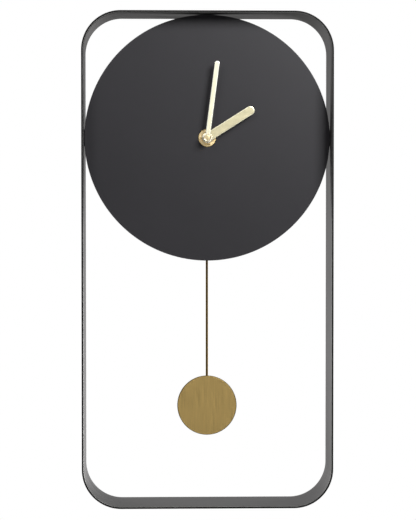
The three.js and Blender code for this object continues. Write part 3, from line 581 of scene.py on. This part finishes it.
def put(piece, body, slot, *nodes, finish=None):
    """Gives a piece its material and its body, and hides the CAD nodes that it stands for.

    finish names the material where it isn't the slot's own.
    """
    piece.data.materials.clear()
    piece.data.materials.append(MATERIALS[finish or slot])
    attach(piece, body)
    if nodes:
        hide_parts(*nodes)


# ---------------------------------------------------------------- band and dial


def make_band():
    """The bent band: a thin strip on edge, closed into a rounded rectangle, with its edges eased."""
    sheet, corner, steps = 2 * MM, 38 * MM, 3
    outer_edge, inner_edge = 0.15 * MM, 0.6 * MM
    low, high = BAND_LOW, BAND_HIGH
    quarter = [math.radians(90 * i / steps) for i in range(steps + 1)]
    outer, inner = ([(edge * (1 - math.sin(t)), edge * (1 - math.cos(t))) for t in quarter]
                    for edge in (outer_edge, inner_edge))
    section = [(inset, low.y + depth) for inset, depth in outer]
    section += [(inset, high.y - depth) for inset, depth in reversed(outer)]
    section += [(sheet - inset, high.y - depth) for inset, depth in inner]
    section += [(sheet - inset, low.y + depth) for inset, depth in reversed(inner)]
    rows = []
    for inset, y in section:
        sides = (low.x + inset, high.x - inset, low.z + inset, high.z - inset)
        rows.append([Vector((x, y, z)) for x, z in rounded_rectangle(*sides, corner - inset, 24)])
    # Painted shade darkens the front face and the outer front bevel; a painted highlight, partly wear,
    # lightens the inner front bevel.
    wear = [-1.0] * steps + [0.0] * (2 * steps + 4) + [1.0] * (steps - 1) + [-1.0]
    bm = bmesh.new()
    add_grid(bm, rows, close_rows=True, close_columns=True, wear=wear)
    put(finish_mesh(bm, "band"), "frame", "band_steel", "frame_band")


def make_dial():
    """The dial: a thin disc with a hole for the bush."""
    rim = circle(AXIS.x, AXIS.z, DIAL_RADIUS, 256)
    bore = circle(AXIS.x, AXIS.z, BORE_RADIUS)
    dial = plate("dial", rim, DIAL_FRONT, DIAL_REAR, edge=0.3 * MM, holes=[bore])
    put(dial, "frame", "dial_black", "dial_disc")


# ---------------------------------------------------------------- hands and hub


def make_hand(name, body, node, length, width, boss, bore, angle, finish):
    """A stamped hand: a straight blade with a round end and bevelled edges, growing out of a round boss.

    length runs from the axis to the tip, boss and bore are radii, and angle is in degrees clockwise from
    twelve.
    """
    low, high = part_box(node)
    half = width / 2
    shoulder = math.degrees(math.acos(half / boss))
    points = [
        *arc(0, 0, boss, 180 - shoulder, 360 + shoulder, 72),
        *arc(0, length - half, half, 0, 180, 32),
    ]
    turn = math.radians(angle)
    direction = Vector((math.sin(turn), 0, math.cos(turn)))
    side = Vector((math.cos(turn), 0, -math.sin(turn)))

    def place(a, b, depth):
        return ON_AXIS + Vector((0, depth, 0)) + side * a + direction * b

    # The polished bevels take a lighter edge tint: partly polish, partly a painted highlight.
    hand = plate(name, points, low.y, high.y, edge=0.1 * MM, holes=[circle(0, 0, bore, 40)], place=place,
                 bevel=(0.6 * MM, 0.17 * MM))
    grain_along(hand, direction, side)
    put(hand, body, "hand_gold", node, finish=finish)


def make_boss_rim():
    """The polished rim rolled up round the minute hand's boss."""
    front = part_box("minute_hand")[0].y / MM
    outer, inner, height = 4.6, 3.7, 0.35
    profile = [
        (outer, front + 0.1), (outer, front - height + 0.12), (outer - 0.12, front - height),
        (outer - 0.2, front - height), (inner, front - 0.02), (inner, front + 0.1),
    ]
    rim = turned("boss_rim", profile, ON_AXIS)
    # The near-white finish is a painted highlight that stands for the rim's white glints.
    put(rim, "minute_hand_body", "hub_gold", finish="hub_painted_glint")


def make_washer():
    """The fixing washer, turned, with a groove in its face and a chamfered front edge."""
    low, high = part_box("fixing_washer")
    outer = (high.x - low.x) / 2 / MM
    inner = BORE_RADIUS / MM
    front, rear = low.y / MM, high.y / MM
    chamfer, groove, groove_rim = 0.2, 6.6, 7.2
    profile = [
        (inner, rear), (inner, front + 0.1), (inner + 0.1, front), (groove - 0.2, front),
        (groove, front + 0.25), (groove_rim, front), (outer - 2 * chamfer, front),
        (outer - 0.5 * chamfer, front + chamfer / 2), (outer, front + chamfer), (outer, rear),
    ]
    # A painted highlight lightens the groove's outer wall.
    wear = [0, 0, 0, 0, 0.8, 1, 0, 0, 0, 0]
    washer = turned("washer", profile, ON_AXIS, 128, wear)
    put(washer, "frame", "hub_gold", "fixing_washer")


def make_nut():
    """The hexagon nut: six flats whose corners are turned off to a cone, and a turned recess in front."""
    low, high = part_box("fixing_nut")
    flat, bore, recess, recess_depth = 6.0, BORE_RADIUS / MM, 5.5, 1.1
    front, rear = low.y / MM, high.y / MM
    seat = flat * 0.965
    fall = 0.55  # how far along the axis the cone runs for each mm outwards
    rise = [0.12 * i for i in range(11)]

    def hexagon(limit):
        """The flats, turned down to a limit where they reach past it."""
        def radius(angle):
            from_flat = angle % (FULL_TURN / 6) - FULL_TURN / 12
            return min(flat / math.cos(from_flat), limit)
        return radius

    profile = [
        (bore, front + recess_depth + 0.3), (bore + 0.3, front + recess_depth),
        (recess - 0.1, front + recess_depth), (recess, front),
    ]
    profile += [(hexagon(seat + step), front + fall * step) for step in rise]
    profile += [(hexagon(seat + step), rear - fall * step) for step in reversed(rise)]
    profile += [(bore + 0.35, rear), (bore, rear - 0.35)]
    # A painted highlight lightens the rim of the recess.
    wear = [0.0] * 3 + [0.8, 0.8] + [0.0] * (2 * len(rise) + 1)
    nut = turned("nut", profile, ON_AXIS, 180, wear, sharp=18)
    put(nut, "frame", "hub_gold", "fixing_nut")


def make_bush():
    """The threaded bush, with a fine helical thread, and a flange that beds in the movement's case."""
    low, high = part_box("centre_bush")
    major, bore, pitch, depth, per_pitch = 3.95, 2.8, 0.75, 0.4, 8
    front_runout, rear_runout, relief = 0.6, 0.4, 0.15
    flange = (high.x - low.x) / 2 / MM
    front, rear = low.y / MM, high.y / MM
    flange_front, flange_rear = DIAL_REAR / MM + 1.1, DIAL_REAR / MM + 1.8

    def thread(y):
        """The thread at one place along the bush. It runs out towards both ends."""
        runout = min(1.0, (y - front) / front_runout, (flange_front - y) / rear_runout)

        def radius(angle):
            phase = (y / pitch + angle / FULL_TURN) % 1.0
            return major - relief * (1 - runout) - depth * abs(2 * phase - 1) * max(0.0, runout)
        return radius

    count = int((flange_front - front) / pitch * per_pitch)
    places = [front + (flange_front - front) * i / count for i in range(1, count)]
    profile = [
        (bore, rear), (bore, front), (major - 0.5, front), *((thread(y), y) for y in places),
        (major, flange_front), (flange, flange_front), (flange, flange_rear), (major, flange_rear),
        (major, rear),
    ]
    bush = turned("bush", profile, ON_AXIS, 48, sharp=45)
    put(bush, "frame", "hub_gold", "centre_bush")


def make_collet():
    """The hour hand's collet, a short ring with eased edges."""
    low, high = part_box("hour_hand_collet")
    outer, inner = (high.x - low.x) / 2 / MM, 2.75
    front, rear = low.y / MM, high.y / MM
    profile = [
        (inner, rear), (inner, front + 0.15), (inner + 0.15, front), (outer - 0.2, front),
        (outer, front + 0.2), (outer, rear),
    ]
    # A painted highlight lightens the front edges.
    collet = turned("collet", profile, ON_AXIS, 64, [0, 0, 1, 1, 1, 0])
    put(collet, "hour_hand_body", "hub_gold", "hour_hand_collet")


def make_cap():
    """The cap on the minute hand: a crowned button in a raised rim, hollow over the pipe."""
    low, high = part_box("minute_hand_cap")
    outer = (high.x - low.x) / 2 / MM
    front, rear = low.y / MM, high.y / MM
    bore, seat, button, groove, crest = 2.1, rear - 1.0, 2.3, 2.75, outer - 0.2
    crown = [(button * i / 8, front + 0.1 + 0.25 * (i / 8) ** 3) for i in range(9)]
    profile = [
        *crown, (button + 0.15, front + 0.55), (groove, front + 0.55), (groove + 0.1, front + 0.3),
        (crest, front), (outer - 0.05, front + 0.08), (outer, front + 0.3), (outer, rear - 0.1),
        (outer - 0.1, rear), (bore, rear), (bore, seat), (0, seat),
    ]
    # Painted shade darkens the groove round the button; a painted highlight lightens the rim's inner slope
    # and crest.
    wear = [0.0] * len(crown) + [-0.5, -0.5, 1.0, 1.0, 0.5] + [0.0] * 6
    cap = turned("cap", profile, ON_AXIS, 96, wear)
    put(cap, "minute_hand_body", "hub_gold", "minute_hand_cap", finish="cap_gold")


# ---------------------------------------------------------------- pendulum


def make_rod():
    """The rod: a straight wire whose top end is bent into a hook through the arm's eye."""
    low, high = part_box("pendulum_rod")
    radius = (high.x - low.x) / 2
    lip, rear = low.y + radius, high.y - radius
    top, eye, bend, steps = high.z - 1 * MM, high.z - 3 * MM, 2 * MM, 24
    start, bottom = eye - bend, low.z + radius / 2
    hook = [
        (lip, top), *arc(lip + bend, eye + bend, bend, 180, 270, 8),
        *arc(rear - bend, eye - bend, bend, 90, 0, 8),
    ]
    straight = [(rear, start + (bottom - start) * i / steps) for i in range(1, steps + 1)]
    rod = tube("rod", [Vector((0, y, z)) for y, z in hook + straight], radius)
    put(rod, "pendulum", "brass_dark", "pendulum_rod")


def make_bob():
    """The bob: a flat disc with eased edges, brushed up and down."""
    low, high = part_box("bob_disc")
    centre = middle("bob_disc")
    rim = circle(centre.x, centre.z, (high.x - low.x) / 2, 160)
    # The eased edges are darkened all round: painted shade for the bob's dark outline.
    bob = plate("bob", rim, low.y, high.y, edge=0.9 * MM, edge_wear_and_light=-1.0)
    grain_along(bob, Vector((0, 0, 1)), Vector((1, 0, 0)))
    put(bob, "pendulum", "brass_brushed", "bob_disc")


def make_clip():
    """The clip on the back of the bob: a strip bent over the rod, with a foot on each side."""
    low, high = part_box("rod_clip")
    sheet, bend, root, gap = 0.6 * MM, 0.9 * MM, 0.3 * MM, 0.45 * MM
    foot, crown = low.y, high.y
    inner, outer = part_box("pendulum_rod")[1].x + gap, high.x
    right_side = [
        (outer, foot), (outer, foot + sheet), (inner + sheet + root, foot + sheet),
        *arc(inner + sheet - bend, crown - bend, bend, 0, 90, 6),
    ]
    left_side = [(-x, y) for x, y in reversed(right_side)]
    under = [(-inner, foot), (-inner, crown - sheet), (inner, crown - sheet), (inner, foot)]
    # The rounded edges take the brass's dark edge tint: painted shade.
    clip = plate("clip", right_side + left_side + under, low.z, high.z, edge=0.12 * MM, place=lying)
    put(clip, "pendulum", "brass_brushed", "rod_clip")


# ---------------------------------------------------------------- back of the clock


def make_hanger():
    """The hanger plate: a keyhole tab, folded forward at its top to lie under the band."""
    low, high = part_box("hanger_plate")
    sheet, slot, head, corner, edge = 1.5 * MM, 2.25 * MM, 4.5 * MM, 3 * MM, 0.25 * MM
    head_z, seam, flange_corner = -8.5 * MM, 0.02 * MM, 1.5 * MM
    outline = [
        *arc(high.x - corner, low.z + corner, corner, -90, 0, 8), (high.x, high.z), (low.x, high.z),
        *arc(low.x + corner, low.z + corner, corner, 180, 270, 8),
    ]
    lean = math.degrees(math.acos(slot / head))
    keyhole = [*arc(0, head_z, head, 180 - lean, 360 + lean, 40), *arc(0, 0, slot, 0, 180, 16)]
    tab = plate("hanger_tab", outline, high.y - sheet, high.y, edge, [keyhole])
    fold = rounded_rectangle(low.x, high.x, low.y, high.y - sheet - seam, flange_corner, 6)
    flange = plate("hanger_flange", fold, high.z - sheet, high.z, edge, place=lying)
    put(tab, "frame", "steel", "hanger_plate")
    put(flange, "frame", "steel")


def make_lug(node):
    """An angle lug behind the dial: one leg on the dial and one on the band, with a bent corner."""
    low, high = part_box(node)
    sheet, edge, bend = 1.5 * MM, 0.2 * MM, 2.2 * MM
    away = (low + high) / 2 - AXIS
    away.y = 0
    out = Vector((round(away.x / away.length), 0, round(away.z / away.length)))
    side = Vector((out.z, 0, -out.x))
    half = abs((high - low).dot(side)) / 2
    tip, reach = sorted(abs((corner - AXIS).dot(out)) for corner in (low, high))
    front, rear = low.y, high.y
    profile = [
        (tip, front), *arc(reach - bend, front + bend, bend, -90, 0, 6), (reach, rear), (reach - sheet, rear),
        *arc(reach - bend, front + bend, bend - sheet, 0, -90, 6), (tip, front + sheet),
    ]

    def place(a, b, depth):
        return ON_AXIS + Vector((0, b, 0)) + out * a + side * depth

    lug = plate(node.removeprefix("dial_"), profile, -half, half, edge, place=place)
    put(lug, "frame", "band_steel", node)


def make_cover():
    """The movement's rear cover, with the cell's bay and holes for the knob's spindle and the screws."""
    low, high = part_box("movement_cover")
    sheet, corner, edge = 1.5 * MM, 4 * MM, 0.4 * MM
    bay_half, bay_bottom, bay_top, bay_corner = 25.9 * MM, AXIS.z - 28 * MM, AXIS.z - 12.8 * MM, 0.8 * MM
    spindle_hole, screw_hole = 1.8 * MM, 1.2 * MM
    knob = middle("setting_knob")
    screws = [middle(f"cover_screw_{i + 1}") for i in range(4)]
    bay = rounded_rectangle(-bay_half, bay_half, bay_bottom, bay_top, bay_corner, 4)
    holes = [bay, circle(knob.x, knob.z, spindle_hole, 32)]
    holes += [circle(screw.x, screw.z, screw_hole, 20) for screw in screws]
    rim = rounded_rectangle(low.x, high.x, low.z, high.z, corner)
    cover = plate("cover", rim, high.y - sheet, high.y, edge, holes)
    put(cover, "frame", "plastic_black", "movement_cover")


def make_cover_details():
    """On the cover: a ring round the knob and grip ribs outside, and a boss for the pendulum's pin inside."""
    low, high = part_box("movement_cover")
    knob, pin = middle("setting_knob"), middle("pivot_pin")
    bead = [(7.4, 0), (7.4, 0.5), (7.2, 0.7), (6.8, 0.7), (6.6, 0.5), (6.6, 0)]
    ring = turned("knob_ring", bead, Vector((knob.x, high.y, knob.z)), 64, [0, 0.5, 1, 1, 0.5, 0])
    put(ring, "frame", "plastic_black")
    boss = turned("pivot_boss", [(1.35, 0), (3, 0), (3, 4), (1.35, 4)], Vector((pin.x, low.y, pin.z)), 32)
    put(boss, "frame", "plastic_black")
    ribs, spacing, top = 6, 2.4 * MM, AXIS.z - 34 * MM
    half_length, half_width, root, rise = 16 * MM, 0.5 * MM, 0.1 * MM, 0.6 * MM
    for i in range(ribs):
        z = top - i * spacing
        bar = rounded_rectangle(-half_length, half_length, z - half_width, z + half_width, 0.49 * MM, 4)
        rib = plate(f"grip_rib_{i + 1}", bar, high.y - root, high.y + rise, edge=0.25 * MM)
        put(rib, "frame", "plastic_black")


def make_cell():
    """The dry cell: a sleeved can with rolled ends and a nub."""
    low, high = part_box("dry_cell")
    centre = middle("dry_cell")
    radius = (high.z - low.z) / 2 / MM
    left, right = low.x / MM, high.x / MM
    nub_radius, nub_height = 2.7, 1.3
    plain_end = radius * 0.62
    shoulder = right - nub_height
    profile = [
        (0, left + 0.3), (plain_end, left + 0.3), (radius * 0.7, left), (radius - 0.7, left),
        (radius - 0.15, left + 0.3), (radius, left + 0.8), (radius, shoulder - 0.9),
        (radius - 0.2, shoulder - 0.3), (radius - 0.8, shoulder), (plain_end, shoulder - 0.15),
        (nub_radius, shoulder - 0.1), (nub_radius, right - 0.3), (nub_radius - 0.3, right), (0, right),
    ]
    cell = turned("cell", profile, Vector((0, centre.y, centre.z)), 64, axis="x")
    put(cell, "cell", "cell_jacket", "dry_cell")


def make_screw(index):
    """A pan-head screw of the cover, with a cross recess."""
    node = f"cover_screw_{index}"
    low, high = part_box(node)
    centre = middle(node)
    tip, top = low.y / MM, high.y / MM
    head, shank, height, flat, lip = 2.0, 0.7, 1.2, 1.1, 0.35
    arm, half_arm, depth = 0.95, 0.2, 0.6
    seat = top - height

    def cross(angle):
        """The recess's outline: four arms a quarter turn apart."""
        from_arm = abs((angle + math.pi / 4) % (math.pi / 2) - math.pi / 4)
        return min(arm / math.cos(from_arm), half_arm / max(math.sin(from_arm), half_arm / arm))

    def recess_floor(angle):
        return 0.8 * cross(angle)

    rise = [math.radians(a) for a in range(0, 51, 10)]
    crown = [(head * math.cos(t), seat + lip + (height - lip) * math.sin(t)) for t in rise]
    profile = [
        (0, tip), (shank, tip + 0.4), (shank, seat), (head, seat), *crown, (flat, top), (cross, top),
        (recess_floor, top - depth), (0, top - depth),
    ]
    wear = [0, 0, 0, 0, *[0.3] * len(crown), 0.6, 1, -0.5, -0.5]
    screw = turned(f"screw_{index}", profile, Vector((centre.x, 0, centre.z)), 64, wear)
    put(screw, "frame", "steel", node)


def finish_cad_nodes():
    """Gives each CAD node the material of its slot."""
    slots = {row["node"]: row["material_slot"] for row in frame["record"]["subparts"]}
    for name, node in frame["nodes"].items():
        node.data.materials.clear()
        node.data.materials.append(MATERIALS[slots[name]])


# ---------------------------------------------------------------- build

make_band()
make_dial()
make_hand("hand_of_hours", "hour_hand_body", "hour_hand", length=53.2 * MM, width=8.5 * MM, boss=5.1 * MM,
          bore=3.7 * MM, angle=57.6, finish="hour_gold_painted_shade")
make_hand("hand_of_minutes", "minute_hand_body", "minute_hand", length=74.6 * MM, width=4.5 * MM,
          boss=4.6 * MM, bore=2 * MM, angle=7.4, finish="hand_gold")
make_boss_rim()
make_washer()
make_nut()
make_bush()
make_collet()
make_cap()
make_rod()
make_bob()
make_clip()
make_hanger()
for lug_node in ("dial_lug_right", "dial_lug_top", "dial_lug_left"):
    make_lug(lug_node)
make_cover()
make_cover_details()
make_cell()
for number in range(1, 5):
    make_screw(number)
finish_cad_nodes()

# ---------------------------------------------------------------- stage, light and camera


def make_floor():
    """A round pale floor below the clock."""
    height, segments, radii = -0.85, 96, (0.0, 0.7, 1.35)
    angles = [FULL_TURN * i / segments for i in range(segments)]
    rows = [[Vector((r * math.cos(a), r * math.sin(a), height)) for a in angles] for r in radii]
    bm = bmesh.new()
    add_grid(bm, rows, close_columns=True)
    floor = finish_mesh(bm, "floor")
    g = Graph("floor_paint")
    marks = g.noise(g.place(), 9.0, detail=4.0, roughness=0.6)
    g.set(Base_Color=g.mix(marks, (0.8, 0.8, 0.79), (0.86, 0.86, 0.85)), Roughness=0.7)
    floor.data.materials.append(g.material)


def make_world():
    """A studio: pure white to the camera, and for light, bright behind the clock and overhead."""
    world = bpy.data.worlds.new("studio")
    bpy.context.scene.world = world
    world.use_nodes = True
    nodes, links = world.node_tree.nodes, world.node_tree.links
    nodes.clear()
    place = nodes.new("ShaderNodeTexCoord")
    split = nodes.new("ShaderNodeSeparateXYZ")
    links.new(place.outputs["Generated"], split.inputs[0])

    def brightness(axis, start, end, dim, bright):
        """How bright the room is towards one axis, from dim where the direction is at start, to bright."""
        node = nodes.new("ShaderNodeMapRange")
        for i, value in enumerate((start, end, dim, bright)):
            node.inputs[i + 1].default_value = value
        links.new(split.outputs[axis], node.inputs[0])
        return node.outputs[0]

    strength = nodes.new("ShaderNodeMath")
    strength.operation = "MULTIPLY"
    towards_wall = brightness(axis=1, start=-0.35, end=0.35, dim=0.05, bright=0.44)
    upwards = brightness(axis=2, start=-0.3, end=0.5, dim=0.2, bright=2.4)
    links.new(towards_wall, strength.inputs[0])
    links.new(upwards, strength.inputs[1])
    room, backdrop = (nodes.new("ShaderNodeBackground") for _ in range(2))
    for node in (room, backdrop):
        node.inputs["Color"].default_value = (*WHITE, 1.0)
    links.new(strength.outputs[0], room.inputs["Strength"])
    rays = nodes.new("ShaderNodeLightPath")
    mix = nodes.new("ShaderNodeMixShader")
    links.new(rays.outputs["Is Camera Ray"], mix.inputs[0])
    links.new(room.outputs[0], mix.inputs[1])
    links.new(backdrop.outputs[0], mix.inputs[2])
    output = nodes.new("ShaderNodeOutputWorld")
    links.new(mix.outputs[0], output.inputs["Surface"])


def make_light(name, place, target, size, power, spread=180):
    """A square softbox that looks at a point. A small spread, in degrees, keeps its light near its axis."""
    data = bpy.data.lights.new(name, "AREA")
    data.shape = "SQUARE"
    data.size = size
    data.energy = power
    data.spread = math.radians(spread)
    light = bpy.data.objects.new(name, data)
    light.location = place
    light.rotation_mode = "QUATERNION"
    light.rotation_quaternion = (Vector(target) - Vector(place)).to_track_quat("-Z", "Y")
    bpy.context.scene.collection.objects.link(light)
    return light


def keep_off(light, *pieces):
    """Keeps a light off some pieces."""
    spared = bpy.data.collections.new(light.name + "_spares")
    light.light_linking.receiver_collection = spared
    for piece in pieces:
        spared.objects.link(piece)
    for row in spared.collection_objects:
        row.light_linking.link_state = "EXCLUDE"


def make_lights():
    """Two softboxes in front, and two behind that light the band's inner faces."""
    make_light("key", (0.45, -0.7, 0.35), (0, 0, -0.15), size=0.4, power=9.6)
    make_light("fill", (-0.9, -1.4, 0.8), (0, 0, -0.2), size=0.5, power=7)
    rims = [
        make_light("rim_right", (0.6, 0.3, -0.48), (-0.12, 0, -0.38), size=0.3, power=5.2, spread=110),
        make_light("rim_left", (-0.5, 0.3, -0.36), (0.12, 0, -0.3), size=0.3, power=1.8, spread=110),
    ]
    for rim in rims:
        keep_off(rim, bpy.data.objects["bob"], bpy.data.objects["clip"])


def make_camera():
    """A long lens, a little left of the clock's middle and a little above it."""
    middle_of_front = Vector((0, BAND_LOW.y, (BAND_LOW.z + BAND_HIGH.z) / 2))
    data = bpy.data.cameras.new("camera")
    data.sensor_width = 36
    data.lens = 122.3
    camera = bpy.data.objects.new("camera", data)
    camera.location = middle_of_front + Vector((-48.4, -1699.3, 46.6)) * MM
    aim = middle_of_front + Vector((0.2, 0, 0.4)) * MM
    camera.rotation_mode = "QUATERNION"
    camera.rotation_quaternion = (aim - camera.location).to_track_quat("-Z", "Y")
    bpy.context.scene.collection.objects.link(camera)
    bpy.context.scene.camera = camera


make_floor()
make_world()
make_lights()
make_camera()
bpy.context.scene.view_settings.view_transform = "Standard"
